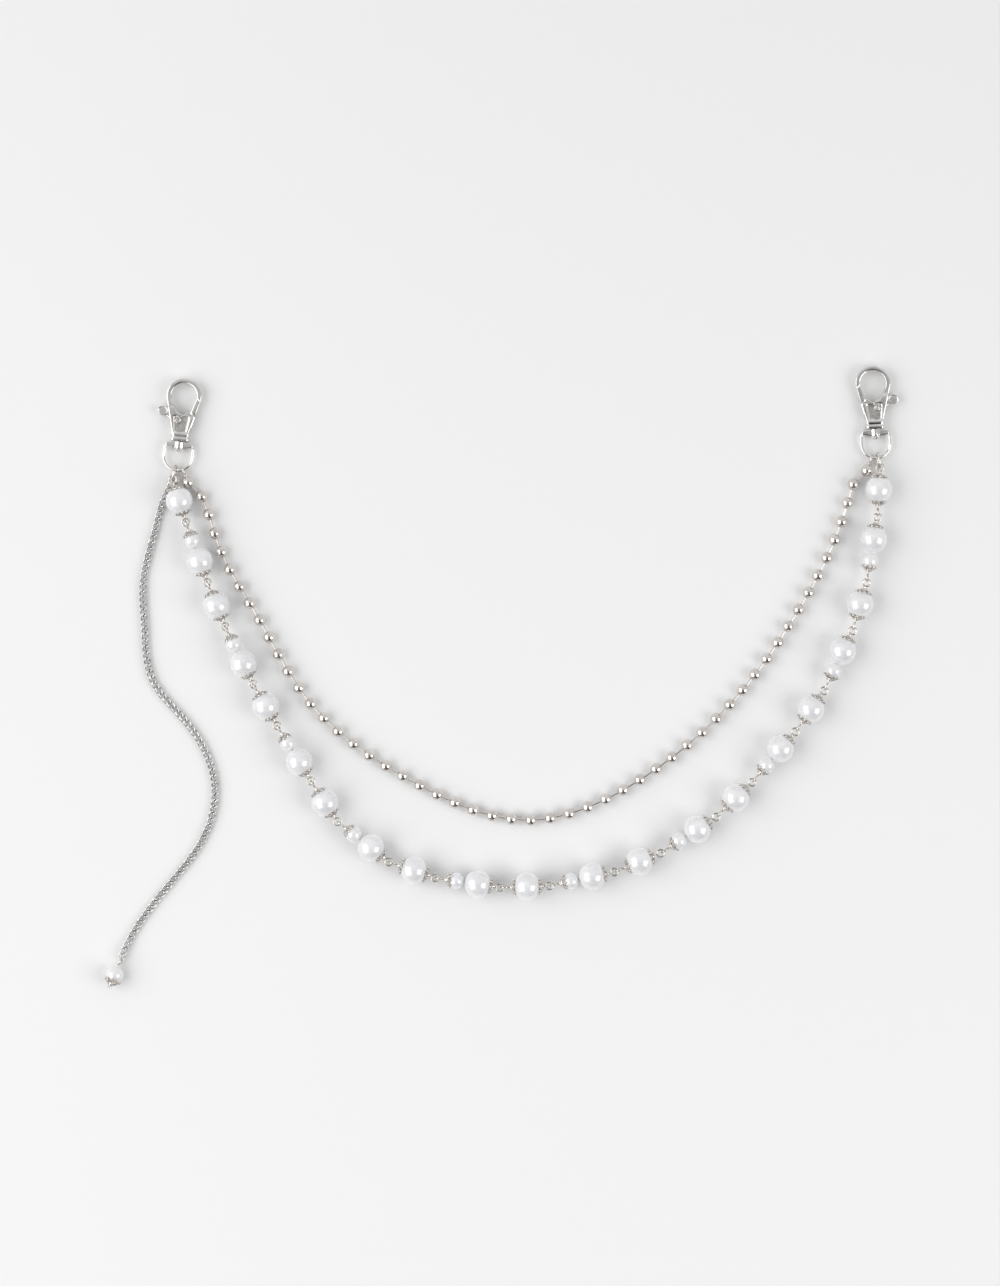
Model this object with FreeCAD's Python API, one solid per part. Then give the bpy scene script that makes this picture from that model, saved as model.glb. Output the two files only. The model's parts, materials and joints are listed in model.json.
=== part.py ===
import FreeCAD, Part
import math
import os

# Layered pearl and ball trouser chain, laid flat with both snaps at the top.
# Millimetres, +Z up, the beads rest on Z = 0.

# Pearl chain
large_pearl = 10.0
small_pearl = 6.0
unit_count = 21             # single and double units take turns, single first
pearl_gap = 0.1             # between the two pearls of a double unit
pin_wire = 0.7
eye_inner = 2.0             # hole of a pin eye
cap_depth = 1.2             # bead cap, measured outward from the pearl
cap_wall = 0.35
cap_rim_share = 0.48        # rim radius as a share of the large pearl radius
cap_petals = 8
neck_length = 0.35          # bare wire between cap and eye
# heading of every second unit, from the left snap to the right one
unit_headings = [-73, -68, -60, -57, -19, 2, 22, 44, 55, 74, 87]
loose_links = 1.1           # slack between the first eyes, gone where the chain starts to rise
loose_units = 12

# Ball chain
ball_size = 4.5
ball_wall = 0.3
ball_pitch = 7.25
ball_shank = 0.8
ball_head = 1.76
ball_hole = 1.6
ball_head_offset = 0.95     # pin head centre from the ball centre
ball_eye_inner = 2.4
ball_eye_wire = 0.7
ball_eye_neck = 0.4
opening_shift = 1           # balls from the middle of the chain to the open joint
# where the chain hangs, as shares of the span between its end balls
ball_route = [(0.017, -0.016), (0.029, -0.042), (0.045, -0.093), (0.099, -0.193), (0.173, -0.319),
              (0.334, -0.448), (0.503, -0.506), (0.668, -0.448), (0.822, -0.314), (0.904, -0.195),
              (0.956, -0.093), (0.974, -0.038), (0.984, -0.013)]

# Curb chain tail with a pearl drop
link_wire = 0.8
link_inner_length = 2.4     # hole of a link
link_inner_width = 1.4
link_play = 0.1
link_roll = 45.0            # links lean to one side and the other by turns
tail_ring_room = 0.065      # between the jump ring and the first link, both in the small ring
tail_settle = 10.0          # distance over which the tail drops to the surface
drop_pearl = 6.5
tail_route = [(-1.8, -3.5), (-4.1, -8.5), (-6.7, -17.9), (-11.2, -36.8), (-10.8, -53.8), (-7.5, -74.5),
              (2.9, -87.5), (12.1, -101.2), (15.3, -114.8), (11.0, -132.2), (0.7, -146.7),
              (-8.6, -158.1), (-19.3, -176.6)]

# Jump rings
ring_wire = 0.9
ring_lean = 50.8            # slope of a jump ring from its swivel eye up to the pearl chain

# Swivel snap, in its own frame: the rivet level is Y = 0 and the loop points to +Y
loop_center = 9.2
loop_outer = 6.45
loop_thick = 2.8
hole_radius = 4.75
hole_low_center = 5.0
hole_low_radius = 2.6
body_radius = 4.15
body_foot = -4.2
body_foot_radius = 3.05
body_thick = 3.4
panel_depth = 0.35
panel_corner = 0.45
# sunk panel around the rivet, wider towards the loop
panel_outline = [(-2.8, 1.5), (2.9, 1.5), (2.0, -4.2), (-2.3, -4.2)]
slot_height = 1.5
slot_low = -2.3
slot_top = 4.0
gate_sill = 2.0             # the gate fills the loop above this level
gate_split = 10.3           # nose and gate part along this radius about the rivet
rivet_offset = -1.0
rivet_shank = 1.6
rivet_head = 2.3
rivet_length = 4.4
rivet_hole = 0.9
rivet_dimple = 1.4          # depth of the blind hole in each rivet end
trigger_thick = 1.3
gate_thick = 2.0
thumb_radius = 1.6
collar_width = 6.8
collar_thick = 3.8
collar_band = 1.2
collar_length = 2.9
stem_size = 1.9
stem_head = 4.2
stem_head_length = 1.2
eye_bar_boss = 3.4
eye_bar_length = 2.6
eye_bar_thick = 2.2
eye_bar_end = 1.5           # height of the cross bar where it meets the wire
eye_bar_shoulder = 2.0      # the cross bar tapers outside this half width
d_wire = 1.2
d_radius = 5.25             # centre line of the half round part
d_side = 4.2
d_corner = 1.3

# Clearances
fit = 0.02                  # pressed or seated parts
turn_fit = 0.06             # parts that turn on one another, on the radius
ring_play = 0.1             # slack between two linked rings
opening_play = 0.4          # where the closed loop is left open

# Where the two snaps lie
left_snap_heading = -96.0
right_snap_heading = -87.0
left_ring_turn = -5.0       # jump ring from the lowest point of the left eye
right_ring_turn = 5.0
left_ball_turn = 27.0
right_ball_turn = -21.5

os.makedirs("parts", exist_ok=True)
Vector = FreeCAD.Vector
origin = Vector(0, 0, 0)
along = Vector(1, 0, 0)
across = Vector(0, 1, 0)
up = Vector(0, 0, 1)

nodes = {}
pivots = []


def pose(point, heading, pitch=0.0, roll=0.0):
    return FreeCAD.Placement(point, FreeCAD.Rotation(heading, -pitch, roll))


def placed(shape, placement):
    result = shape.copy()
    result.Placement = placement.multiply(shape.Placement)
    return result


def direction(heading):
    return Vector(math.cos(math.radians(heading)), math.sin(math.radians(heading)), 0)


def heading_of(vector):
    return math.degrees(math.atan2(vector.y, vector.x))


def pivot(name, point, axis):
    pivots.append((name, Vector(point), Vector(axis)))


def rod(start, end, radius):
    span = end - start
    return Part.makeCylinder(radius, span.Length, start, span)


def fused(shapes):
    return shapes[0].fuse(shapes[1:]).removeSplitter().Solids[0]


def ring(center_radius, wire_radius, axis):
    return Part.makeTorus(center_radius, wire_radius, origin, axis)


def globe(radius, center, axis):
    """Sphere with its poles on the axis, so that a hole or a rod along the axis takes them away."""
    return Part.makeSphere(radius, center, axis)


# ---- flat outlines for the snap ----

def capsule(first, first_radius, second, second_radius, thick):
    """Plate around two circles and the straight lines that touch both."""
    gap = second - first
    base = math.atan2(gap.y, gap.x)
    spread = math.acos((first_radius - second_radius) / gap.Length)
    corners = []
    ends = ((first, first_radius, base + spread), (second, second_radius, base + spread),
            (second, second_radius, base - spread), (first, first_radius, base - spread))
    for center, radius, angle in ends:
        corners.append(center + Vector(math.cos(angle), math.sin(angle), 0) * radius)
    far_end = second + gap.normalize() * second_radius
    near_end = first - gap * first_radius
    outline = Part.Wire([Part.LineSegment(corners[0], corners[1]).toShape(),
                         Part.Arc(corners[1], far_end, corners[2]).toShape(),
                         Part.LineSegment(corners[2], corners[3]).toShape(),
                         Part.Arc(corners[3], near_end, corners[0]).toShape()])
    plate = Part.Face(outline).extrude(Vector(0, 0, thick))
    plate.translate(Vector(0, 0, -thick / 2))
    return plate


def plate_of(outline, thick, corner):
    """Plate with straight sides and rounded corners."""
    points = [Vector(x, y, -thick / 2) for x, y in outline]
    plate = Part.Face(Part.makePolygon(points + points[:1])).extrude(Vector(0, 0, thick))
    return plate.makeFillet(corner, [edge for edge in plate.Edges if abs(edge.tangentAt(0).z) > 0.9])


def block(x_range, y_range, z_range):
    size = [b - a for a, b in (x_range, y_range, z_range)]
    return Part.makeBox(size[0], size[1], size[2], Vector(x_range[0], y_range[0], z_range[0]))


rivet_point = Vector(rivet_offset, 0, 0)
rivet_radius = rivet_shank / 2
stem_radius = stem_size / 2
collar_top = body_foot - 0.4
collar_low = collar_top - collar_length
bar_top = collar_low - 0.2
bar_low = bar_top - eye_bar_length
bar_center = (bar_top + bar_low) / 2
d_center = bar_center - d_side


def make_hook():
    outline = capsule(Vector(0, loop_center, 0), loop_outer, origin, body_radius, loop_thick)
    thick_outline = capsule(Vector(0, loop_center, 0), loop_outer, origin, body_radius, body_thick)
    shoulder = thick_outline.common(block((-10, 10), (-10, slot_top + 0.7), (-5, 5)))
    foot = capsule(origin, body_radius, Vector(0, body_foot, 0), body_foot_radius, body_thick)
    hole = capsule(Vector(0, loop_center, 0), hole_radius, Vector(0, hole_low_center, 0), hole_low_radius, 6)
    hook = outline.fuse([shoulder, foot]).cut(hole)

    panel = plate_of(panel_outline, panel_depth * 2, panel_corner)
    for side in (-1, 1):
        recess = panel.copy()
        recess.translate(Vector(0, 0, side * body_thick / 2))
        hook = hook.cut(recess)

    half_slot = slot_height / 2
    hook = hook.cut(block((-12, 12), (slot_low, slot_top), (-half_slot, half_slot)))
    reach = Part.makeCylinder(gate_split + ring_play / 2, 8, rivet_point - up * 4, up)
    gate_room = reach.common(block((0, 12), (gate_sill, 20), (-4, 4)))
    hook = hook.cut(gate_room)
    hook = hook.cut(Part.makeCylinder(rivet_radius + fit, 8, rivet_point - up * 4, up))

    bands = []
    half_width = collar_width / 2
    half_thick = collar_thick / 2
    groove = collar_length - 2 * collar_band
    for low in (collar_low, collar_low + collar_band + groove):
        band = block((-half_width, half_width), (low, low + collar_band), (-half_thick, half_thick))
        band = band.makeFillet(1.1, [edge for edge in band.Edges if abs(edge.tangentAt(0).y) > 0.9])
        bands.append(band)
    waist = block((-half_width + 0.5, half_width - 0.5), (collar_low, collar_top + 0.4),
                  (-half_thick + 0.4, half_thick - 0.4))
    head_top = bar_low - fit * 5
    stem = rod(Vector(0, collar_low, 0), Vector(0, head_top, 0), stem_radius)
    head = Part.makeCone(stem_head / 2, stem_head / 4, stem_head_length,
                         Vector(0, head_top, 0), Vector(0, -1, 0))
    return fused([hook.Solids[0], waist, stem, head] + bands)


def make_rivet():
    shank = rod(rivet_point - up * rivet_length / 2, rivet_point + up * rivet_length / 2, rivet_radius)
    seat = body_thick / 2 - panel_depth + fit
    pieces = [shank]
    for side in (-1, 1):
        head = Part.makeCylinder(rivet_head / 2, rivet_length / 2 - seat,
                                 rivet_point + up * side * seat, up * side)
        pieces.append(head)
    rivet = fused(pieces)
    for side in (-1, 1):
        dimple = Part.makeCone(rivet_hole / 2, rivet_head / 4, rivet_dimple,
                               rivet_point + up * side * (rivet_length / 2 - rivet_dimple), up * side)
        rivet = rivet.cut(dimple)
    return rivet.Solids[0]


def make_trigger():
    elbow = Vector(4.1, 3.4, 0)
    tip = Vector(5.7, 9.2, 0)
    wrist = Vector(-5.4, 2.3, 0)
    pad = Vector(-7.4, 3.0, 0)
    hub = Part.makeCylinder(1.9, trigger_thick, rivet_point - up * trigger_thick / 2, up)
    arm = capsule(rivet_point, 1.5, elbow, 0.9, trigger_thick)
    gate = capsule(elbow, 0.95, tip, 0.8, gate_thick)
    lever = capsule(rivet_point, 1.5, wrist, 0.9, trigger_thick)
    thumb = capsule(wrist, 0.9, pad, thumb_radius, trigger_thick)
    trigger = fused([hub, arm, gate, lever, thumb])
    swing = Part.makeCylinder(gate_split - ring_play / 2, 8, rivet_point - up * 4, up)
    trigger = trigger.common(swing)
    bore = Part.makeCylinder(rivet_radius + turn_fit, 8, rivet_point - up * 4, up)
    return trigger.cut(bore).Solids[0]


def make_swivel_eye():
    wire = d_wire / 2
    top = bar_center
    side_low = d_center
    pieces = [Part.makeTorus(d_radius, wire, Vector(0, d_center, 0), Vector(0, 0, 1), 0, 360)]
    keep_low = block((-12, 12), (d_center - 12, d_center), (-4, 4))
    pieces[0] = pieces[0].common(keep_low).Solids[0]
    for side in (-1, 1):
        foot = Vector(side * d_radius, side_low, 0)
        shoulder = Vector(side * d_radius, top - d_corner, 0)
        corner_center = Vector(side * (d_radius - d_corner), top - d_corner, 0)
        bend = Part.makeTorus(d_corner, wire, corner_center, up, 0, 360)
        if side < 0:
            quarter = block((-5 - d_radius, corner_center.x), (corner_center.y, corner_center.y + 5), (-4, 4))
        else:
            quarter = block((corner_center.x, d_radius + 5), (corner_center.y, corner_center.y + 5), (-4, 4))
        pieces.append(rod(foot, shoulder, wire))
        pieces.append(bend.common(quarter).Solids[0])
    pieces.append(rod(Vector(-(d_radius - d_corner), top, 0), Vector(d_radius - d_corner, top, 0), wire))
    pieces.append(rod(Vector(0, bar_low, 0), Vector(0, bar_top, 0), eye_bar_boss / 2))
    reach = d_radius - 0.3
    end = eye_bar_end / 2
    bar_outline = [(-reach, top + end), (-eye_bar_shoulder, bar_top),
                   (eye_bar_shoulder, bar_top), (reach, top + end),
                   (reach, top - end), (eye_bar_shoulder, bar_low),
                   (-eye_bar_shoulder, bar_low), (-reach, top - end)]
    pieces.append(plate_of(bar_outline, eye_bar_thick, 0.3))
    eye = fused(pieces)
    bore = rod(Vector(0, bar_low - 1, 0), Vector(0, bar_top + 1, 0), stem_radius + turn_fit)
    return eye.cut(bore).Solids[0]


hook_shape = make_hook()
rivet_shape = make_rivet()
trigger_shape = make_trigger()
eye_shape = make_swivel_eye()

# ---- pearl units, along +X from the start eye ----

wire_radius = pin_wire / 2
eye_radius = eye_inner / 2 + wire_radius
unit_reach = cap_depth + neck_length + eye_inner / 2 + pin_wire
link_step = eye_inner - ring_play
rest_height = large_pearl / 2
flat_height = ball_size / 2


def make_pearl(size):
    ball = globe(size / 2, origin, along)
    return ball.cut(rod(Vector(-size, 0, 0), Vector(size, 0, 0), wire_radius + turn_fit))


def make_cap(size):
    """Petalled cup around the wire; it opens to -X and its pearl is centred on the origin."""
    inner = size / 2 + fit
    rim = min(large_pearl / 2 * cap_rim_share, inner * 0.75)
    rim_x = math.sqrt(inner ** 2 - rim ** 2)
    hub = wire_radius + fit
    shell = globe(inner + cap_wall, origin, along).cut(globe(inner, origin, along))
    cup = shell.common(Part.makeCylinder(rim, size, Vector(rim_x - cap_wall, 0, 0), along))
    collar = Part.makeCone(1.2, 0.75, cap_depth - fit, Vector(inner, 0, 0), along)
    cup = cup.fuse(collar.cut(globe(inner + cap_wall / 2, origin, along)))
    cutters = []
    for index in range(cap_petals):
        angle = math.radians(360 / cap_petals * (index + 0.5))
        side = Vector(0, math.cos(angle), math.sin(angle)) * rim
        cutters.append(Part.makeCylinder(rim * 0.2, size, side, along))
    cutters.append(rod(origin, Vector(size * 2, 0, 0), hub))
    return cup.cut(cutters).removeSplitter().Solids[0]


def make_pin(length, start_axis):
    shaft = rod(Vector(eye_radius, 0, 0), Vector(length - eye_radius, 0, 0), wire_radius)
    far_eye = Part.makeTorus(eye_radius, wire_radius, Vector(length, 0, 0), up)
    return fused([ring(eye_radius, wire_radius, start_axis), shaft, far_eye])


def turned_back(shape, point):
    result = shape.copy()
    result.rotate(origin, up, 180)
    result.translate(point)
    return result


def moved(shape, x_shift):
    result = shape.copy()
    result.translate(Vector(x_shift, 0, 0))
    return result


large_shape = make_pearl(large_pearl)
small_shape = make_pearl(small_pearl)
large_cap = make_cap(large_pearl)
small_cap = make_cap(small_pearl)
single_center = unit_reach + large_pearl / 2
small_center = unit_reach + small_pearl / 2
double_center = unit_reach + small_pearl + pearl_gap + large_pearl / 2
single_length = 2 * single_center
double_length = double_center + large_pearl / 2 + unit_reach
single_caps = [turned_back(large_cap, Vector(single_center, 0, 0)), moved(large_cap, single_center)]
double_caps = [turned_back(small_cap, Vector(small_center, 0, 0)), moved(large_cap, double_center)]
templates = {
    "first": ([moved(large_shape, single_center)], [make_pin(single_length, up)] + single_caps),
    "single": ([moved(large_shape, single_center)], [make_pin(single_length, across)] + single_caps),
    "double": ([moved(small_shape, small_center), moved(large_shape, double_center)],
               [make_pin(double_length, across)] + double_caps),
}

# ---- left snap and the jump ring that lifts the first pin to pearl height ----

ring_tilt = math.radians(ring_lean)
rise = rest_height - flat_height
ring_inner = rise / math.sin(ring_tilt) + d_wire / 2 + wire_radius + ring_play
ring_radius = (ring_inner + ring_wire) / 2
eye_slack = ring_inner / 2 - d_wire / 2 - ring_play / 2
pin_slack = ring_inner / 2 - wire_radius - ring_play / 2
eye_run = eye_slack * math.cos(ring_tilt)
pin_run = pin_slack * math.cos(ring_tilt)
ring_height = flat_height + eye_slack * math.sin(ring_tilt)
ball_eye_radius = (ball_eye_inner + ball_eye_wire) / 2
ball_eye_shift = ball_eye_inner / 2 - d_wire / 2 - ring_play / 2
ball_eye_reach = ball_eye_inner / 2 + ball_eye_wire + ball_eye_neck + ball_size / 2


def level(point, height):
    return Vector(point.x, point.y, height)


def snap_placement(eye_center, heading, turned_over):
    """The snap lies with its own -Y along the heading and its half round centre on the given point."""
    turn = FreeCAD.Rotation(up, heading + 90)
    if turned_over:
        turn = turn.multiply(FreeCAD.Rotation(across, 180))
    offset = turn.multVec(Vector(0, d_center, 0))
    return FreeCAD.Placement(eye_center - offset, turn)


def add_snap(side, eye_center, heading, turned_over):
    place = snap_placement(eye_center, heading, turned_over)
    nodes[side + "_hook"] = [placed(hook_shape, place)]
    nodes[side + "_rivet"] = [placed(rivet_shape, place)]
    nodes[side + "_trigger"] = [placed(trigger_shape, place)]
    nodes[side + "_swivel_eye"] = [placed(eye_shape, place)]
    pivot(side + "_trigger", place.multVec(rivet_point), place.Rotation.multVec(up))
    pivot(side + "_swivel", place.multVec(Vector(0, bar_center, 0)), place.Rotation.multVec(across))
    pivot(side + "_loop_center", place.multVec(Vector(0, loop_center, 0)), place.Rotation.multVec(across))
    window_middle = (bar_low - stem_head_length + d_center - d_radius) / 2
    pivot(side + "_eye_window", place.multVec(Vector(0, window_middle, 0)), place.Rotation.multVec(across))


left_eye_center = Vector(0, 0, flat_height)
add_snap("left", left_eye_center, left_snap_heading, False)
left_ring_heading = left_snap_heading + left_ring_turn
left_way = direction(left_ring_heading)
left_contact = left_eye_center + left_way * d_radius
left_ring_center = level(left_contact + left_way * eye_run, ring_height)
nodes["left_jump_ring"] = [placed(ring(ring_radius, ring_wire / 2, across),
                                  pose(left_ring_center, left_ring_heading))]
pivot("left_ring", left_contact, direction(left_ring_heading + 90))
first_eye = level(left_ring_center + left_way * (pin_run + eye_radius), rest_height)
pivot("unit_01", left_ring_center, direction(left_ring_heading + 90))


def heading_at(index):
    place = index / (unit_count - 1) * (len(unit_headings) - 1)
    low = min(int(place), len(unit_headings) - 2)
    share = place - low
    return unit_headings[low] * (1 - share) + unit_headings[low + 1] * share


point = first_eye
for index in range(unit_count):
    number = "%02d" % (index + 1)
    heading = heading_at(index)
    kind = "single"
    if index == 0:
        kind = "first"
    elif index % 2 == 1:
        kind = "double"
    if index > 0:
        slack = loose_links * max(0.0, 1 - index / loose_units)
        point = point + direction(heading) * (link_step - slack)
        pivot("unit_" + number, point, direction(heading + 90))
    pearl_shapes, metal_shapes = templates[kind]
    place = pose(point, heading)
    nodes["pearls_" + number] = [placed(shape, place) for shape in pearl_shapes]
    nodes["eye_pin_" + number] = [placed(shape, place) for shape in metal_shapes]
    point = point + direction(heading) * (double_length if kind == "double" else single_length)
last_eye = point

# ---- right snap, reached through its own jump ring ----

right_ring_heading = right_snap_heading + right_ring_turn
right_way = direction(right_ring_heading)
right_ring_center = level(last_eye - right_way * (eye_radius + pin_run), ring_height)
nodes["right_jump_ring"] = [placed(ring(ring_radius, ring_wire / 2, across),
                                   pose(right_ring_center, right_ring_heading))]
right_contact = level(right_ring_center - right_way * eye_run, flat_height)
right_eye_center = right_contact - right_way * d_radius
pivot("right_ring", right_ring_center, direction(right_ring_heading + 90))
pivot("right_eye", right_contact, direction(right_ring_heading + 90))
add_snap("right", right_eye_center, right_snap_heading, True)

# ---- ball chain between the two swivel eyes ----

head_radius = ball_head / 2
shank_radius = ball_shank / 2


def make_ball_pin(start, end):
    way = Vector(end - start).normalize()
    return fused([rod(start + way * ball_head_offset, end - way * ball_head_offset, shank_radius),
                  globe(head_radius, start + way * ball_head_offset, way),
                  globe(head_radius, end - way * ball_head_offset, way)])


def make_open_pin(start, end):
    way = Vector(end - start).normalize()
    stop = end - way * (ball_size / 2 + opening_play)
    return fused([rod(start + way * ball_head_offset, stop, shank_radius),
                  globe(head_radius, start + way * ball_head_offset, way)])


hollow_ball = Part.makeSphere(ball_size / 2).cut(Part.makeSphere(ball_size / 2 - ball_wall))


def make_ball(center, neighbours):
    """Hollow ball with one hole towards each neighbour and its seam turned to the side."""
    shell = placed(hollow_ball, pose(center, heading_of(neighbours[0] - center) + 90))
    for neighbour in neighbours:
        way = Vector(neighbour - center).normalize()
        shell = shell.cut(rod(center, center + way * ball_size, ball_hole / 2))
    return shell.Solids[0]


def make_end_eye(eye_center, ball_center):
    way = Vector(ball_center - eye_center).normalize()
    ring_shape = placed(ring(ball_eye_radius, ball_eye_wire / 2, across), pose(eye_center, heading_of(way)))
    return fused([ring_shape,
                  rod(eye_center + way * ball_eye_radius, ball_center - way * ball_head_offset, shank_radius),
                  globe(head_radius, ball_center - way * ball_head_offset, way)])


left_ball_way = direction(left_snap_heading + left_ball_turn)
right_ball_way = direction(right_snap_heading + right_ball_turn)
left_end_eye = left_eye_center + left_ball_way * (d_radius + ball_eye_shift)
right_end_eye = right_eye_center + right_ball_way * (d_radius + ball_eye_shift)
first_ball = left_end_eye + left_ball_way * ball_eye_reach
last_ball = right_end_eye + right_ball_way * ball_eye_reach

span = last_ball - first_ball
route_points = [first_ball]
for share, drop in ball_route:
    route_points.append(first_ball + span * share + Vector(0, drop * span.Length, 0))
route_points.append(last_ball)
route = Part.BSplineCurve()
route.interpolate(route_points)
ball_steps = int(round(route.length() / ball_pitch))
balls = route.toShape().discretize(Number=ball_steps + 1)

open_count = (len(balls) + 1) // 2 + opening_shift
quarter_count = len(balls) // 4
run_bounds = [(0, quarter_count), (quarter_count, open_count),
              (open_count, len(balls) - quarter_count), (len(balls) - quarter_count, len(balls))]
for number, (start, end) in enumerate(run_bounds):
    shapes = []
    for index in range(start, end):
        previous = balls[index - 1] if index > 0 else left_end_eye
        following = balls[index + 1] if index < len(balls) - 1 else right_end_eye
        neighbours = [previous, following]
        if index == open_count:
            neighbours = [following]
        shapes.append(make_ball(balls[index], neighbours))
    if number == 0:
        shapes.append(make_end_eye(left_end_eye, balls[0]))
    if number == 3:
        shapes.append(make_end_eye(right_end_eye, balls[-1]))
    if number < 2:
        first_pin, last_pin = start, end - 1
    else:
        first_pin, last_pin = start, end - 2
    for index in range(first_pin, last_pin + 1):
        if index == open_count - 1:
            shapes.append(make_open_pin(balls[index], balls[index + 1]))
        elif index < open_count - 1 or number >= 2:
            shapes.append(make_ball_pin(balls[index], balls[index + 1]))
    if number == 3:
        shapes.append(make_ball_pin(balls[start - 1], balls[start]))
    nodes["ball_run_%d" % (number + 1)] = shapes
pivot("ball_run_1", left_end_eye, direction(left_snap_heading + left_ball_turn + 90))
right_joint = len(balls) - quarter_count - 1
for name, index in (("ball_run_2", quarter_count), ("ball_run_3", right_joint)):
    chord = balls[index + 1] - balls[index - 1]
    pivot(name, balls[index], direction(heading_of(chord) + 90))
pivot("ball_run_4", right_end_eye, direction(right_snap_heading + right_ball_turn + 90))

# ---- curb chain tail ----

link_radius = link_wire / 2
link_length = link_inner_length + 2 * link_wire
half_length = link_inner_length / 2 + link_radius
half_width = link_inner_width / 2 + link_radius
link_pitch = link_inner_length - link_play
table_height = half_width * math.sin(math.radians(link_roll)) + link_radius


def make_link():
    """Flat oval of round wire in the XY plane."""
    bend_x = half_length - half_width
    pieces = []
    for side in (-1, 1):
        bend = Part.makeTorus(half_width, link_radius, Vector(side * bend_x, 0, 0), up)
        outside = block(sorted((side * bend_x, side * link_length)), (-link_length, link_length), (-1, 1))
        pieces.append(bend.common(outside).Solids[0])
        start = Vector(-bend_x, side * half_width, 0)
        pieces.append(rod(start, start + along * 2 * bend_x, link_radius))
    return fused(pieces)


link_shape = make_link()
tail_slope = math.radians(70)
tail_drop = pin_slack * math.sin(tail_slope)
tail_start = pin_slack * math.cos(tail_slope) + wire_radius
ring_edge = math.sqrt((ring_radius + ring_wire / 2) ** 2 - (tail_drop - link_radius) ** 2)
tail_ring_inner = ring_edge + tail_ring_room + link_wire + link_play / 2 - tail_start
tail_ring_radius = tail_ring_inner / 2 + wire_radius
tail_ring_center = level(left_ring_center + left_way * (tail_start + tail_ring_inner / 2),
                         ring_height - tail_drop)
tail_ring = placed(ring(tail_ring_radius, wire_radius, up), pose(tail_ring_center, 0))
tail_points = [level(tail_ring_center, 0)]
for x_shift, y_shift in tail_route:
    tail_points.append(level(tail_ring_center + Vector(x_shift, y_shift, 0), 0))
tail_curve = Part.BSplineCurve()
tail_curve.interpolate(tail_points)
first_link = tail_ring_radius - wire_radius - link_radius - link_play / 2 + half_length
link_count = int((tail_curve.length() - first_link) / link_pitch) + 1
last_link = first_link + link_pitch * (link_count - 1)
drop_eye_height = eye_radius + wire_radius + fit


def eased(share):
    share = min(1.0, max(0.0, share))
    return share ** 2 * (3 - 2 * share)


def tail_height(distance):
    """Down from the ring to the surface, and up again to the eye of the drop."""
    start_part = (tail_ring_center.z - table_height) * (1 - eased((distance - first_link) / tail_settle))
    end_part = (drop_eye_height - table_height) * (1 - eased((last_link - distance) / tail_settle))
    return table_height + start_part + end_part


def link_lean(index):
    """The first link stands up in its flat ring, the last one lies down in the upright eye of the drop."""
    side = 1 if index % 2 == 0 else -1
    last_side = 1 if (link_count - 1) % 2 == 0 else -1
    return side * link_roll + 20 * 0.5 ** index - last_side * 25 * 0.5 ** (link_count - 1 - index)


def tail_point(distance):
    flat = tail_curve.value(tail_curve.parameterAtDistance(distance))
    return Vector(flat.x, flat.y, tail_height(distance))


links = []
link_places = []
distance = first_link
for index in range(link_count):
    center = tail_point(distance)
    step = tail_point(distance + 0.4) - tail_point(distance - 0.4)
    pitch = math.degrees(math.atan2(step.z, math.hypot(step.x, step.y)))
    place = pose(center, heading_of(step), pitch)
    roll = FreeCAD.Placement(origin, FreeCAD.Rotation(along, link_lean(index)))
    link_places.append(place)
    links.append(placed(link_shape, place.multiply(roll)))
    distance = distance + link_pitch
half_links = link_count // 2
nodes["tail_chain_upper"] = [tail_ring] + links[:half_links]
nodes["tail_chain_lower"] = links[half_links:]
hinge = link_places[half_links - 1]
pivot("tail_upper", tail_ring_center, up)
pivot("tail_lower", hinge.multVec(Vector(half_length, 0, 0)), hinge.Rotation.multVec(across))

# ---- pearl drop ----

end_place = link_places[-1]
end_heading = heading_of(end_place.Rotation.multVec(along))
end_wire = end_place.multVec(Vector(half_length, 0, 0))
drop_eye = level(end_wire + direction(end_heading) * (eye_radius - link_radius - wire_radius - link_play),
                 drop_eye_height)
drop_center = eye_inner / 2 + pin_wire + neck_length + drop_pearl / 2
drop_pitch = math.degrees(math.asin((drop_pearl / 2 - drop_eye_height) / drop_center))
drop_place = pose(drop_eye, end_heading, drop_pitch)
drop_cap = moved(make_cap(drop_pearl), drop_center)
pin_end = drop_center + drop_pearl / 2 + cap_depth + 0.1
head_pin = fused([ring(eye_radius, wire_radius, across),
                  rod(Vector(eye_radius, 0, 0), Vector(pin_end, 0, 0), wire_radius),
                  Part.makeCylinder(0.8, 0.6, Vector(pin_end, 0, 0), along)])
nodes["drop_pearl"] = [placed(moved(make_pearl(drop_pearl), drop_center), drop_place)]
nodes["drop_pin"] = [placed(head_pin, drop_place), placed(drop_cap, drop_place)]
pivot("drop", drop_eye, direction(end_heading + 90))

# ---- centre everything on the origin and write the parts ----

everything = FreeCAD.BoundBox()
for shapes in nodes.values():
    for shape in shapes:
        everything.add(shape.optimalBoundingBox(False))
shift = Vector(-everything.Center.x, -everything.Center.y, -everything.ZMin)
for name, shapes in nodes.items():
    for shape in shapes:
        shape.translate(shift)
    whole = shapes[0] if len(shapes) == 1 else Part.makeCompound(shapes)
    whole.exportStep("parts/" + name + ".step")
for name, point, axis in pivots:
    spot = point + shift
    print("pivot", name, round(spot.x, 4), round(spot.y, 4), round(spot.z, 4),
          round(axis.x, 6), round(axis.y, 6), round(axis.z, 6))
print("size", round(everything.XLength, 2), round(everything.YLength, 2), round(everything.ZLength, 2))
print("balls", len(balls), "links", link_count, "nodes", len(nodes))
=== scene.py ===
import bpy
import bmesh
import json
import math
from mathutils import Matrix, Vector

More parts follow.
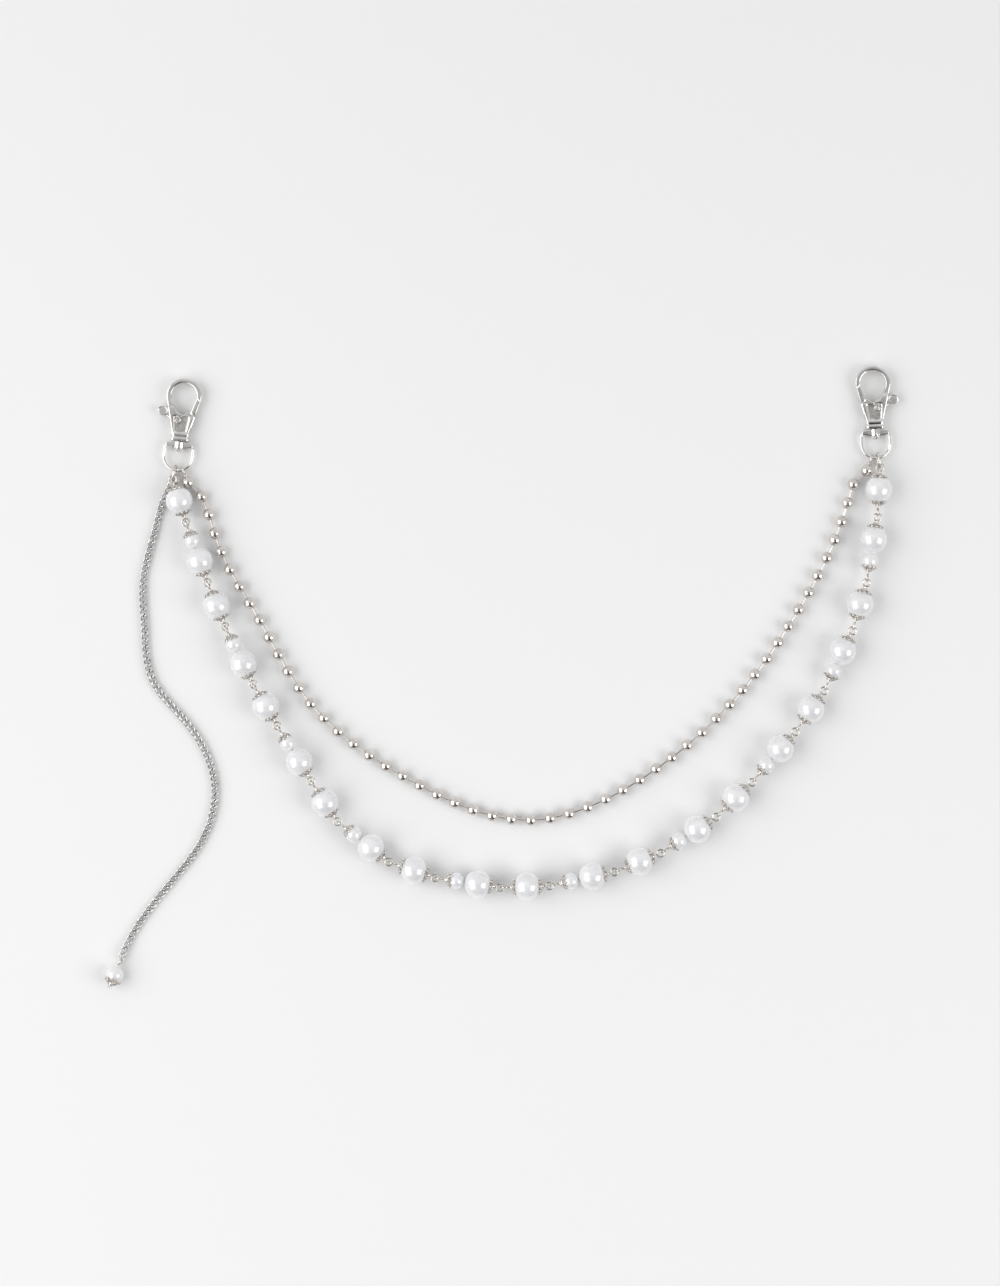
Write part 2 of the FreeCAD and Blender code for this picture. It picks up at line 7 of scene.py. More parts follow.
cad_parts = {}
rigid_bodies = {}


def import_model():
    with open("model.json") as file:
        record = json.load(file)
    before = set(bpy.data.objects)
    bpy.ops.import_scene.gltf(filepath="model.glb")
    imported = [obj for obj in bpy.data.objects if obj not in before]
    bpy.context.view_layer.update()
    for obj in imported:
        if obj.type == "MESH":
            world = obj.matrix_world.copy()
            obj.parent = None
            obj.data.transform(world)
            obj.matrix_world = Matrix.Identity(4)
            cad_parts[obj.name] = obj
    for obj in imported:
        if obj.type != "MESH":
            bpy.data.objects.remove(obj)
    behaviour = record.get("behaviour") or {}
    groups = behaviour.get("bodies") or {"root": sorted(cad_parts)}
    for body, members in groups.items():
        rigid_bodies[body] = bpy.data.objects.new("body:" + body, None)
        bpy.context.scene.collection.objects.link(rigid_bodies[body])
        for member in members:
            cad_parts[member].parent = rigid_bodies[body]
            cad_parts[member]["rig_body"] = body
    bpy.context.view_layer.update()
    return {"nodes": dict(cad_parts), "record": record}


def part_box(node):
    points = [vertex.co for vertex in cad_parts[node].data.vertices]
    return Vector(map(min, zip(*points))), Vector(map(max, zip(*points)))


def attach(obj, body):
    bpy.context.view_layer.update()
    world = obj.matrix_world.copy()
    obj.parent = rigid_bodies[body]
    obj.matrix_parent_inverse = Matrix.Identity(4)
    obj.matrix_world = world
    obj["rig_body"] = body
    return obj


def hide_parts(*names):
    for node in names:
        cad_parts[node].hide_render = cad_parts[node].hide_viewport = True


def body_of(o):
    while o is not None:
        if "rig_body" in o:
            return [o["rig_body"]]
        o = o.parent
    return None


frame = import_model()
mm = 0.001
pi = math.pi
print("frame loaded")


# ---- modelling helpers ----

def deselectAll():
    if bpy.context.mode != "OBJECT":
        bpy.ops.object.mode_set(mode="OBJECT")
    bpy.ops.object.select_all(action="DESELECT")


def onlyThis(piece):
    deselectAll()
    piece.select_set(True)
    bpy.context.view_layer.objects.active = piece


def newest():
    return bpy.context.view_layer.objects.active


def editStart(piece):
    onlyThis(piece)
    bpy.ops.object.mode_set(mode="EDIT")
    bpy.ops.mesh.select_mode(type="VERT")
    bpy.ops.mesh.select_all(action="DESELECT")


def editEnd():
    bpy.ops.object.mode_set(mode="OBJECT")


def pickVerts(piece, test):
    # selects the vertices for which test(place) is true, in edit mode
    bpy.ops.mesh.select_mode(type="VERT")
    bpy.ops.mesh.select_all(action="DESELECT")
    shape = bmesh.from_edit_mesh(piece.data)
    for vert in shape.verts:
        vert.select = test(vert.co)
    shape.select_flush(True)
    bmesh.update_edit_mesh(piece.data)


def pickFaces(piece, test):
    # selects the faces for which test(middle, normal) is true, in edit mode
    bpy.ops.mesh.select_mode(type="FACE")
    bpy.ops.mesh.select_all(action="DESELECT")
    shape = bmesh.from_edit_mesh(piece.data)
    shape.normal_update()
    for face in shape.faces:
        face.select = test(face.calc_center_median(), face.normal)
    bmesh.update_edit_mesh(piece.data)


def settle(piece):
    # place, turn and size go into the mesh
    onlyThis(piece)
    bpy.ops.object.transform_apply(location=True, rotation=True, scale=True)


def finishWith(piece, kind, **settings):
    onlyThis(piece)
    modifier = piece.modifiers.new(kind.lower(), kind)
    for key, value in settings.items():
        setattr(modifier, key, value)
    bpy.ops.object.modifier_apply(modifier=modifier.name)


def smoothed(piece, degrees=40):
    onlyThis(piece)
    bpy.ops.object.shade_smooth_by_angle(angle=math.radians(degrees))


def joined(pieces, name):
    deselectAll()
    for piece in pieces:
        piece.select_set(True)
    bpy.context.view_layer.objects.active = pieces[0]
    if len(pieces) > 1:
        bpy.ops.object.join()
    result = newest()
    result.name = name
    result.data.name = name
    return result


def copied(template, name, matrix=None):
    result = template.copy()
    result.data = template.data.copy()
    result.name = name
    bpy.context.scene.collection.objects.link(result)
    if matrix is not None:
        result.data.transform(matrix)
    return result


def thrownAway(pieces):
    for piece in pieces:
        bpy.data.objects.remove(piece)


def aimed(place, way, side=Vector((0, 0, 1))):
    # matrix that puts local X along way and local Z as near to side as it can
    x = way.normalized()
    y = side.cross(x).normalized()
    z = x.cross(y)
    turn = Matrix((x, y, z)).transposed().to_4x4()
    return Matrix.Translation(place) @ turn


def nodeCopy(nodeName, name):
    # the CAD node's mesh as a piece of its own, with its doubles merged
    result = copied(frame["nodes"][nodeName], name)
    result.parent = None
    for key in list(result.keys()):
        if key.startswith("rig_"):
            del result[key]
    editStart(result)
    bpy.ops.mesh.select_all(action="SELECT")
    bpy.ops.mesh.remove_doubles(threshold=0.002 * mm)
    editEnd()
    return result


def solidsOf(nodeName):
    # lowest and highest corner and mean point of each solid in a CAD node
    whole = nodeCopy(nodeName, "solids")
    onlyThis(whole)
    bpy.ops.object.mode_set(mode="EDIT")
    bpy.ops.mesh.select_all(action="SELECT")
    bpy.ops.mesh.separate(type="LOOSE")
    bpy.ops.object.mode_set(mode="OBJECT")
    found = []
    loose = list(bpy.context.selected_objects)
    for piece in loose:
        points = [vert.co.copy() for vert in piece.data.vertices]
        low = Vector([min(point[axis] for point in points) for axis in range(3)])
        high = Vector([max(point[axis] for point in points) for axis in range(3)])
        found.append({"low": low, "high": high, "middle": (low + high) / 2,
                      "mean": sum(points, Vector()) / len(points), "size": (high - low)})
    thrownAway(loose)
    return found


def rideWith(piece, nodeName):
    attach(piece, body_of(frame["nodes"][nodeName])[0])


# ---- materials ----

def linear(hexColour):
    channels = [int(hexColour[place:place + 2], 16) / 255 for place in (1, 3, 5)]
    values = [c / 12.92 if c <= 0.04045 else ((c + 0.055) / 1.055) ** 2.4 for c in channels]
    return (*values, 1.0)


def addNode(tree, kind, settings=None, links=None):
    # settings are sockets by name or properties, links are socket: (node, output)
    node = tree.nodes.new(kind)
    for key, value in (settings or {}).items():
        if key in node.inputs:
            node.inputs[key].default_value = value
        else:
            setattr(node, key, value)
    for key, (source, output) in (links or {}).items():
        tree.links.new(source.outputs[output], node.inputs[key])
    return node


def surface(name, look):
    # cloud and grain sizes are in millimetres; cloud varies the colour and gloss, grain is fine relief
    material = bpy.data.materials.new(name)
    material.use_nodes = True
    tree = material.node_tree
    tree.nodes.clear()
    place = addNode(tree, "ShaderNodeTexCoord")
    cloud = addNode(tree, "ShaderNodeTexNoise",
                    {"Scale": 1 / (look["cloudSize"] * mm), "Detail": 3.0, "Roughness": 0.55},
                    {"Vector": (place, "Object")})
    grain = addNode(tree, "ShaderNodeTexNoise",
                    {"Scale": 1 / (look["grainSize"] * mm), "Detail": 2.0},
                    {"Vector": (place, "Object")})
    tint = addNode(tree, "ShaderNodeValToRGB", {}, {"Fac": (cloud, "Fac")})
    tint.color_ramp.elements[0].position = 0.35
    tint.color_ramp.elements[0].color = linear(look["darkTint"])
    tint.color_ramp.elements[1].position = 0.65
    tint.color_ramp.elements[1].color = linear(look["lightTint"])
    gloss = addNode(tree, "ShaderNodeMapRange",
                    {"From Min": 0.3, "From Max": 0.7,
                     "To Min": look["roughness"][0], "To Max": look["roughness"][1]},
                    {"Value": (cloud, "Fac")})
    relief = addNode(tree, "ShaderNodeBump",
                     {"Strength": look["relief"], "Distance": look["reliefDepth"] * mm},
                     {"Height": (grain, "Fac")})
    shader = addNode(tree, "ShaderNodeBsdfPrincipled",
                     {"Metallic": look["metallic"], **look.get("sockets", {})},
                     {"Base Color": (tint, "Color"), "Roughness": (gloss, "Result"),
                      "Normal": (relief, "Normal")})
    addNode(tree, "ShaderNodeOutputMaterial", {}, {"Surface": (shader, "BSDF")})
    return material


# imitation pearl: a moulded bead dipped in pearl essence and clear lacquer,
# so a soft body gloss with a pale rim under a sharp coat
pearlLook = {"darkTint": "#DEDEE0", "lightTint": "#E8E8E9", "cloudSize": 4.0, "grainSize": 0.35,
             "roughness": (0.24, 0.30), "relief": 0.10, "reliefDepth": 0.01, "metallic": 0.0,
             "sockets": {"IOR": 1.75, "Coat Weight": 1.0, "Coat Roughness": 0.08, "Coat IOR": 1.9,
                         "Sheen Weight": 1.0, "Sheen Roughness": 0.45}}
# die-cast zinc, tumbled and bright nickel plated: a mirror with soft waves left by the mould
castLook = {"darkTint": "#DEDCD8", "lightTint": "#F4F3F0", "cloudSize": 3.0, "grainSize": 1.2,
            "roughness": (0.05, 0.11), "relief": 0.25, "reliefDepth": 0.06, "metallic": 1.0}
# stamped steel ball, barrel polished and nickel plated: the smoothest metal here
ballLook = {"darkTint": "#D6D0CA", "lightTint": "#E9E4DF", "cloudSize": 2.5, "grainSize": 0.6,
            "roughness": (0.05, 0.10), "relief": 0.08, "reliefDepth": 0.02, "metallic": 1.0}
# drawn wire, nickel plated: a little duller, with faint drawing marks
wireLook = {"darkTint": "#C4BFB8", "lightTint": "#EAE7E1", "cloudSize": 1.5, "grainSize": 0.3,
            "roughness": (0.12, 0.22), "relief": 0.15, "reliefDepth": 0.02, "metallic": 1.0}
# stamped brass filigree, silver plated and a little tarnished in its hollows
filigreeLook = {"darkTint": "#B4AEA8", "lightTint": "#F7F3EF", "cloudSize": 0.8, "grainSize": 0.3,
                "roughness": (0.20, 0.34), "relief": 0.2, "reliefDepth": 0.03, "metallic": 1.0}
# twisted steel wire links, plated in a barrel: slightly warm and rubbed where they touch
curbLook = {"darkTint": "#BDBCBA", "lightTint": "#EFEEEC", "cloudSize": 1.2, "grainSize": 0.4,
            "roughness": (0.12, 0.24), "relief": 0.2, "reliefDepth": 0.02, "metallic": 1.0}
# sunk panel of the snap, left as it came from the mould: satin grey
panelLook = {"darkTint": "#A9A6A3", "lightTint": "#C6C3BF", "cloudSize": 1.0, "grainSize": 0.25,
             "roughness": (0.34, 0.46), "relief": 0.5, "reliefDepth": 0.03, "metallic": 1.0}

pearlCoat = surface("pearlLacquer", pearlLook)
castNickel = surface("nickelPlatedCastZinc", castLook)
ballNickel = surface("nickelPlatedSteelBall", ballLook)
wireNickel = surface("nickelPlatedDrawnWire", wireLook)
filigreeSilver = surface("silverPlatedFiligree", filigreeLook)
curbNickel = surface("nickelPlatedTwistedWire", curbLook)
castPanel = surface("satinCastPanel", panelLook)


def coated(piece, material):
    piece.data.materials.clear()
    piece.data.materials.append(material)


nodeFinish = {"pearl": pearlCoat, "snap": castNickel, "pin_wire": wireNickel,
              "ball_chain": ballNickel, "curb_chain": curbNickel}
slotOf = {part["node"]: part["material_slot"] for part in frame["record"]["subparts"]}
for nodeName, node in frame["nodes"].items():
    finish = nodeFinish[slotOf[nodeName]]
    if nodeName.endswith("jump_ring"):
        finish = wireNickel
    for place in range(len(node.material_slots)):
        node.material_slots[place].material = finish
print("materials made")


# ---- filigree bead caps: a crown of wire petals over each stamped cup ----

capShape = {"petals": 10, "petalRadius": 0.42 * mm, "petalWire": 0.18 * mm, "petalStretch": 1.5,
            "beadRadius": 0.46 * mm, "collarBeads": 7, "collarRadius": 0.86 * mm, "collarBead": 0.30 * mm,
            "collarRise": 0.45 * mm, "largeRim": 2.45 * mm, "smallRimShare": 0.75, "cupWall": 0.35 * mm,
            "petalRise": 0.12 * mm, "innerRise": 0.15 * mm, "innerScale": 0.8}
# how far down the cup each row sits, as shares of the angle of its rim
capRows = {"inner": 0.40, "petal": 0.66, "petalEnd": 0.9, "tip": 1.06}


def makeBead(radius):
    # little solder ball, flattened a little where it sits
    bpy.ops.mesh.primitive_uv_sphere_add(segments=8, ring_count=5, radius=radius)
    bead = newest()
    editStart(bead)
    pickVerts(bead, lambda point: point.z < -radius * 0.5)
    bpy.ops.transform.resize(value=(1, 1, 0.6))
    editEnd()
    smoothed(bead, 80)
    return bead


def makePetal():
    # wire loop, drawn out to a leaf along X
    shape = capShape
    bpy.ops.mesh.primitive_torus_add(major_segments=12, minor_segments=5,
                                     major_radius=shape["petalRadius"], minor_radius=shape["petalWire"])
    petal = newest()
    editStart(petal)
    pickVerts(petal, lambda point: point.x > shape["petalRadius"] * 0.2)
    bpy.ops.transform.translate(value=(shape["petalRadius"] * (shape["petalStretch"] - 1), 0, 0))
    pickVerts(petal, lambda point: point.x < -shape["petalRadius"] * 0.7)
    bpy.ops.transform.resize(value=(1, 0.6, 1))
    editEnd()
    smoothed(petal, 80)
    return petal


def onGlobe(radius, lean, turn):
    # place and outward direction on a globe round the origin, at an angle from +X
    return Vector((math.cos(lean), math.sin(lean) * math.cos(turn), math.sin(lean) * math.sin(turn))) * radius


def makeCap(pearlRadius):
    # round +X, for a pearl centred on the origin
    shape = capShape
    outside = pearlRadius + shape["cupWall"]
    rim = min(shape["largeRim"], pearlRadius * shape["smallRimShare"])
    rimLean = math.asin(rim / pearlRadius)
    bead = makeBead(shape["beadRadius"])
    petal = makePetal()
    pieces = []
    for index in range(shape["petals"]):
        turn = 2 * pi * index / shape["petals"]
        middle = onGlobe(outside + shape["petalRise"], rimLean * capRows["petal"], turn)
        outward = middle.normalized()
        down = (onGlobe(outside, rimLean * capRows["petalEnd"], turn) - middle).normalized()
        pieces.append(copied(petal, "petal", aimed(middle, down, outward)))
        tip = onGlobe(outside, rimLean * capRows["tip"], turn + pi / shape["petals"])
        pieces.append(copied(bead, "bead", aimed(tip, down, outward)))
        if index % 2 == 0:
            inner = onGlobe(outside + shape["innerRise"], rimLean * capRows["inner"], turn)
            pieces.append(copied(bead, "bead", aimed(inner, down, outward)
                                 @ Matrix.Scale(shape["innerScale"], 4)))
    for index in range(shape["collarBeads"]):
        turn = 2 * pi * index / shape["collarBeads"]
        ringPlace = Vector((outside + shape["collarRise"], math.cos(turn) * shape["collarRadius"],
                            math.sin(turn) * shape["collarRadius"]))
        pieces.append(copied(bead, "bead", Matrix.Translation(ringPlace)
                             @ Matrix.Scale(shape["collarBead"] / shape["beadRadius"], 4)))
    thrownAway([bead, petal])
    return joined(pieces, "capTemplate")


def capPlaces(pearlNode, pinNode):
    # for each cap the pearl that it sits on and its way outward
    pearls = solidsOf(pearlNode)
    metal = sorted(solidsOf(pinNode), key=lambda solid: solid["size"].length)
    places = []
    for cap in metal[:-1]:
        pearl = min(pearls, key=lambda solid: (solid["middle"] - cap["mean"]).length)
        places.append((pearl["middle"], max(pearl["size"]) / 2, (cap["mean"] - pearl["middle"]).normalized()))
    return places


capTemplates = {}


def dressCaps(pearlNode, pinNode, name):
    pieces = []
    for middle, radius, outward in capPlaces(pearlNode, pinNode):
        size = round(radius / mm, 2)
        if size not in capTemplates:
            capTemplates[size] = makeCap(radius)
        pieces.append(copied(capTemplates[size], name, aimed(middle, outward)))
    crown = joined(pieces, name)
    coated(crown, filigreeSilver)
    rideWith(crown, pinNode)


unitCount = len([name for name in frame["nodes"] if name.startswith("pearls_")])
for number in range(1, unitCount + 1):
    dressCaps("pearls_%02d" % number, "eye_pin_%02d" % number, "capCrown_%02d" % number)
dressCaps("drop_pearl", "drop_pin", "capCrown_drop")
thrownAway(list(capTemplates.values()))
print("bead caps made")


# ---- curb chain tail: twisted wire links ----

curbShape = {"wire": 0.40 * mm, "bend": 1.1 * mm, "straight": 1.0 * mm, "twist": 112, "around": 20,
             "wireSides": 8, "settle": 0.22 * mm, "hungFirst": 4, "hungLast": 3,
             "ringInner": 1.4 * mm, "ringWire": 0.35 * mm}


def makeCurbLink():
    # wire ring, pulled out to an oval along X and twisted so that it lies flat in its neighbours
    shape = curbShape
    bpy.ops.mesh.primitive_torus_add(major_segments=shape["around"], minor_segments=shape["wireSides"],
                                     major_radius=shape["bend"], minor_radius=shape["wire"])
    link = newest()
    editStart(link)
    for side in (-1, 1):
        pickVerts(link, lambda point: point.x * side > 0.05 * mm)
        bpy.ops.transform.translate(value=(side * shape["straight"] / 2, 0, 0))
    editEnd()
    finishWith(link, "SUBSURF", levels=1, render_levels=1)
    finishWith(link, "SIMPLE_DEFORM", deform_method="TWIST", deform_axis="X",
               angle=math.radians(shape["twist"]))
    smoothed(link, 80)
    return link


def makeTail():
    # the CAD solids give each link's middle; they are put in order from the jump ring down,
    # and all but the hung links at both ends settle onto the table
    start = solidsOf("left_jump_ring")[0]["middle"]
    waiting = [(solid["middle"], "tail_chain_upper") for solid in solidsOf("tail_chain_upper")]
    waiting += [(solid["middle"], "tail_chain_lower") for solid in solidsOf("tail_chain_lower")]
    chain = []
    spot = start
    while waiting:
        following = min(waiting, key=lambda item: (item[0] - spot).length)
        waiting.remove(following)
        chain.append(following)
        spot = following[0]
    link = makeCurbLink()
    made = {"tail_chain_upper": [], "tail_chain_lower": []}
    for index in range(1, len(chain)):
        middle, nodeName = chain[index]
        before = chain[index - 1][0] if index > 1 else middle
        after = chain[index + 1][0] if index < len(chain) - 1 else middle
        lies = curbShape["hungFirst"] < index < len(chain) - curbShape["hungLast"]
        drop = Vector((0, 0, -curbShape["settle"])) if lies else Vector()
        made[nodeName].append(copied(link, "link", aimed(middle + drop, after - before)))
    bpy.ops.mesh.primitive_torus_add(location=chain[0][0], major_segments=32, minor_segments=10,
                                     major_radius=curbShape["ringInner"] + curbShape["ringWire"],
                                     minor_radius=curbShape["ringWire"])
    small = newest()
    settle(small)
    smoothed(small, 80)
    made["tail_chain_upper"].append(small)
    thrownAway([link])
    for nodeName, links in made.items():
        piece = joined(links, nodeName.replace("tail_chain", "curbChain"))
        coated(piece, curbNickel)
        rideWith(piece, nodeName)
        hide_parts(nodeName)
    print("curb chain made,", len(chain) - 1, "links")


makeTail()


# ---- snaps: the castings get the soft edges that the mould and the tumbling leave ----

castShape = {"bodyVoxel": 0.13 * mm, "smallVoxel": 0.10 * mm, "rivetVoxel": 0.07 * mm, "bodyRounds": 36,
             "smallRounds": 24, "rivetRounds": 5, "pull": 0.5, "keep": 0.45,
             "panelFloor": (1.15 * mm, 1.50 * mm), "panelReach": (-4.5 * mm, 1.8 * mm), "panelFlat": 0.85}


def makeCasting(nodeName, name, grade):
    # grade is body, small or rivet: how fine the mesh is and how far its edges are rounded
    voxel, rounds = castShape[grade + "Voxel"], castShape[grade + "Rounds"]
    piece = nodeCopy(nodeName, name)
    finishWith(piece, "REMESH", mode="VOXEL", voxel_size=voxel, use_smooth_shade=True)
    finishWith(piece, "SMOOTH", factor=castShape["pull"], iterations=rounds)
    finishWith(piece, "DECIMATE", ratio=castShape["keep"])
    smoothed(piece, 60)
    coated(piece, castNickel)
    rideWith(piece, nodeName)
    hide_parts(nodeName)
    return piece


def snapFrame(side):
    # middle of the rivet, and the level way from the swivel eye to the hook
    rivetLow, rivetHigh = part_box(side + "_rivet")
    eyeLow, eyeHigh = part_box(side + "_swivel_eye")
    middle = (rivetLow + rivetHigh) / 2
    way = middle - (eyeLow + eyeHigh) / 2
    way.z = 0
    return middle, way.normalized()


def satinPanel(body, side):
    # the sunk faces on both sides of the rivet are duller than the polished rims
    middle, way = snapFrame(side)
    body.data.materials.append(castPanel)
    near, far = castShape["panelFloor"]
    start, end = castShape["panelReach"]

    def isPanel(point, normal):
        step = (point - middle).dot(way)
        level = near < abs(point.z - middle.z) < far and abs(normal.z) > castShape["panelFlat"]
        return start < step < end and level

    editStart(body)
    pickFaces(body, isPanel)
    body.active_material_index = 1
    bpy.ops.object.material_slot_assign()
    editEnd()


padShape = {"radius": 1.75 * mm, "stretch": 1.22, "thick": 1.5 * mm, "rim": 0.38 * mm, "slope": 0.22 * mm,
            "dish": 0.32 * mm, "edge": 0.14 * mm, "inset": 1.60 * mm, "tipDepth": 0.1 * mm, "around": 40}


def makeThumbPad(side, lever):
    # oval pad at the end of the thumb lever, dished on both faces
    shape = padShape
    rivet, way = snapFrame(side)
    outward = way.cross(Vector((0, 0, 1)))
    points = [vert.co.copy() for vert in lever.data.vertices]
    reaches = [(point - rivet).dot(outward) for point in points]
    if max(reaches) < -min(reaches):
        outward = -outward
    reach = max((point - rivet).dot(outward) for point in points)
    tips = [point for point in points if (point - rivet).dot(outward) > reach - shape["tipDepth"]]
    middle = sum(tips, Vector()) / len(tips) - outward * shape["inset"]
    middle.z = rivet.z
    bpy.ops.mesh.primitive_cylinder_add(vertices=shape["around"], radius=shape["radius"],
                                        depth=shape["thick"])
    pad = newest()
    editStart(pad)
    pickFaces(pad, lambda point, normal: abs(normal.z) > 0.9)
    bpy.ops.mesh.inset(thickness=shape["rim"], depth=0)
    bpy.ops.mesh.inset(thickness=shape["slope"], depth=-shape["dish"])
    bpy.ops.mesh.select_all(action="SELECT")
    bpy.ops.transform.resize(value=(shape["stretch"], 1, 1))
    editEnd()
    finishWith(pad, "BEVEL", width=shape["edge"], segments=3, limit_method="ANGLE")
    smoothed(pad, 50)
    coated(pad, castNickel)
    pad.data.materials.append(castPanel)
    dishTop = (shape["thick"] - shape["dish"]) / 2
    editStart(pad)
    pickFaces(pad, lambda point, normal: abs(normal.z) > 0.95 and abs(point.z) < dishTop)
    pad.active_material_index = 1
    bpy.ops.object.material_slot_assign()
    editEnd()
    pad.data.transform(aimed(middle, outward))
    pad.name = side + "ThumbPad"
    pad.data.name = pad.name
    rideWith(pad, side + "_trigger")


for side in ("left", "right"):
    snapBody = makeCasting(side + "_hook", side + "SnapBody", "body")
    satinPanel(snapBody, side)
    lever = makeCasting(side + "_trigger", side + "SnapTrigger", "small")
    makeThumbPad(side, lever)
    makeCasting(side + "_swivel_eye", side + "SwivelEye", "small")
    makeCasting(side + "_rivet", side + "Rivet", "rivet")
print("snap castings made")


# ---- ends of the ball chain: the wire is wrapped round the neck of each end eye ----

wrapShape = {"coils": (1.62 * mm, 2.06 * mm), "radius": 0.66 * mm, "wire": 0.27 * mm, "tilt": 8,
             "smallestBall": 4.0 * mm}


def makeNeckWrap(nodeName, name):
    # the joint of the run sits in the middle of its end eye, and the first ball is the nearest one
    joints = {joint["name"]: joint for joint in frame["record"]["behaviour"]["joints"]}
    eye = Vector(joints[nodeName + "_swing"]["pos_m"])
    balls = [solid for solid in solidsOf(nodeName) if min(solid["size"]) > wrapShape["smallestBall"]]
    ball = min(balls, key=lambda solid: (solid["middle"] - eye).length)
    way = (ball["middle"] - eye).normalized()
    coils = []
    for distance in wrapShape["coils"]:
        bpy.ops.mesh.primitive_torus_add(major_segments=24, minor_segments=10,
                                         major_radius=wrapShape["radius"], minor_radius=wrapShape["wire"])
        coil = newest()
        smoothed(coil, 80)
        tilt = Matrix.Rotation(math.radians(wrapShape["tilt"]), 4, "X")
        coil.data.transform(Matrix.Translation(eye + way * distance)
                            @ way.to_track_quat("Z", "Y").to_matrix().to_4x4() @ tilt)
        coils.append(coil)
    wrap = joined(coils, name)
    coated(wrap, wireNickel)
    rideWith(wrap, nodeName)


makeNeckWrap("ball_run_1", "neckWrap_left")
makeNeckWrap("ball_run_4", "neckWrap_right")
print("neck wraps made")


# ---- floor, light and camera ----

stageShape = {"floorSize": 6.0, "floorColours": ("#EAEAEA", "#EBEBEB"), "fibreScale": 900.0, "lens": 90.0,
              "sensor": 36.0, "clip": (0.01, 20.0), "viewTall": 475.8 * mm,
              "viewMiddle": (-0.74 * mm, 12.58 * mm)}
roomLook = {"air": "#F5F5F6", "nearWall": 0.30, "farWall": 0.80, "wallFade": (-0.6, 0.5),
            "stripTurn": math.radians(20), "stripHalf": 0.08, "stripSoft": 0.14,
            "stripStart": (-0.14, 0.10), "stripLight": 0.15}
# name, place, size across and up, power
softBoxes = (("leftWindow", (-1.12, -0.18, 0.92), (2.0, 1.35), 17.5),
             ("rightWindow", (1.15, -0.36, 0.92), (1.05, 1.05), 9.6))


def makeFloor():
    deselectAll()
    bpy.ops.mesh.primitive_plane_add(size=stageShape["floorSize"], location=(0, 0, 0))
    floor = newest()
    floor.name = "floor"
    paper = bpy.data.materials.new("matPaper")
    paper.use_nodes = True
    tree = paper.node_tree
    tree.nodes.clear()
    place = addNode(tree, "ShaderNodeTexCoord")
    fibre = addNode(tree, "ShaderNodeTexNoise", {"Scale": stageShape["fibreScale"], "Detail": 2.0},
                    {"Vector": (place, "Object")})
    tint = addNode(tree, "ShaderNodeValToRGB", {}, {"Fac": (fibre, "Fac")})
    for element, colour in zip(tint.color_ramp.elements, stageShape["floorColours"]):
        element.color = linear(colour)
    shader = addNode(tree, "ShaderNodeBsdfPrincipled", {"Roughness": 0.9, "Specular IOR Level": 0.1},
                     {"Base Color": (tint, "Color")})
    addNode(tree, "ShaderNodeOutputMaterial", {}, {"Surface": (shader, "BSDF")})
    coated(floor, paper)


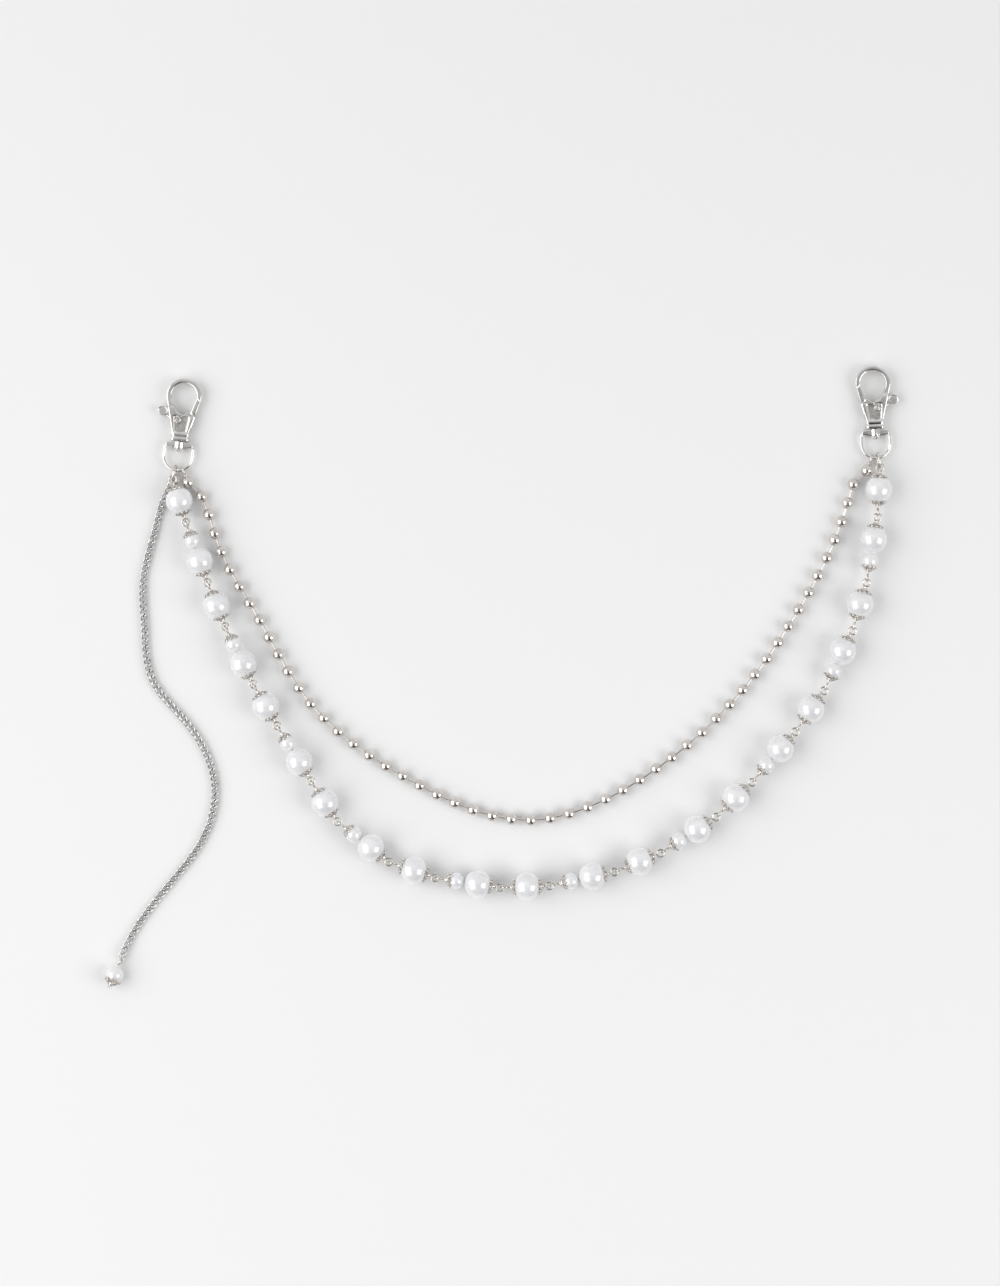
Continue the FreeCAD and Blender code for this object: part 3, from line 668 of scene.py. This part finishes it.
def makeRoom():
    world = bpy.data.worlds.new("studio")
    bpy.context.scene.world = world
    world.use_nodes = True
    tree = world.node_tree
    tree.nodes.clear()
    # the room: pale behind the chain, darker on the near side,
    # with a dark strip from overhead to the near side
    look = roomLook
    place = addNode(tree, "ShaderNodeTexCoord")
    parts = addNode(tree, "ShaderNodeSeparateXYZ", {}, {"Vector": (place, "Generated")})
    wall = addNode(tree, "ShaderNodeMapRange",
                   {"From Min": look["wallFade"][0], "From Max": look["wallFade"][1],
                    "To Min": look["nearWall"], "To Max": look["farWall"]},
                   {"Value": (parts, "Y")})
    across = addNode(tree, "ShaderNodeVectorMath", {"operation": "DOT_PRODUCT"}, {0: (place, "Generated")})
    across.inputs[1].default_value = (math.cos(look["stripTurn"]), math.sin(look["stripTurn"]), 0)
    along = addNode(tree, "ShaderNodeVectorMath", {"operation": "DOT_PRODUCT"}, {0: (place, "Generated")})
    along.inputs[1].default_value = (math.sin(look["stripTurn"]), -math.cos(look["stripTurn"]), 0)
    offAxis = addNode(tree, "ShaderNodeMath", {"operation": "ABSOLUTE"}, {0: (across, "Value")})
    beside = addNode(tree, "ShaderNodeMapRange",
                     {"From Min": look["stripHalf"], "From Max": look["stripHalf"] + look["stripSoft"],
                      "To Min": 1.0, "To Max": 0.0, "interpolation_type": "SMOOTHSTEP"},
                     {"Value": (offAxis, "Value")})
    nearSide = addNode(tree, "ShaderNodeMapRange",
                       {"From Min": look["stripStart"][0], "From Max": look["stripStart"][1],
                        "interpolation_type": "SMOOTHSTEP"},
                       {"Value": (along, "Value")})
    strip = addNode(tree, "ShaderNodeMath", {"operation": "MULTIPLY"},
                    {0: (beside, "Result"), 1: (nearSide, "Result")})
    dim = addNode(tree, "ShaderNodeMapRange", {"To Min": 1.0, "To Max": look["stripLight"]},
                  {"Value": (strip, "Value")})
    power = addNode(tree, "ShaderNodeMath", {"operation": "MULTIPLY"},
                    {0: (wall, "Result"), 1: (dim, "Result")})
    air = addNode(tree, "ShaderNodeBackground", {"Color": linear(look["air"])},
                  {"Strength": (power, "Value")})
    addNode(tree, "ShaderNodeOutputWorld", {}, {"Surface": (air, "Background")})


def makeSoftBoxes():
    for name, place, size, watts in softBoxes:
        lamp = bpy.data.lights.new(name, "AREA")
        lamp.shape = "RECTANGLE"
        lamp.size, lamp.size_y = size
        lamp.energy = watts
        holder = bpy.data.objects.new(name, lamp)
        bpy.context.scene.collection.objects.link(holder)
        holder.location = place
        holder.rotation_euler = (-Vector(place)).to_track_quat("-Z", "Y").to_euler()


def makeCamera():
    scene = bpy.context.scene
    lens = bpy.data.cameras.new("camera")
    lens.lens = stageShape["lens"]
    lens.sensor_width = stageShape["sensor"]
    camera = bpy.data.objects.new("camera", lens)
    scene.collection.objects.link(camera)
    distance = stageShape["viewTall"] * lens.lens / lens.sensor_width
    camera.location = (*stageShape["viewMiddle"], distance)
    lens.clip_start, lens.clip_end = stageShape["clip"]
    scene.camera = camera
    scene.view_settings.view_transform = "Standard"


makeFloor()
makeRoom()
makeSoftBoxes()
makeCamera()
print("stage set")
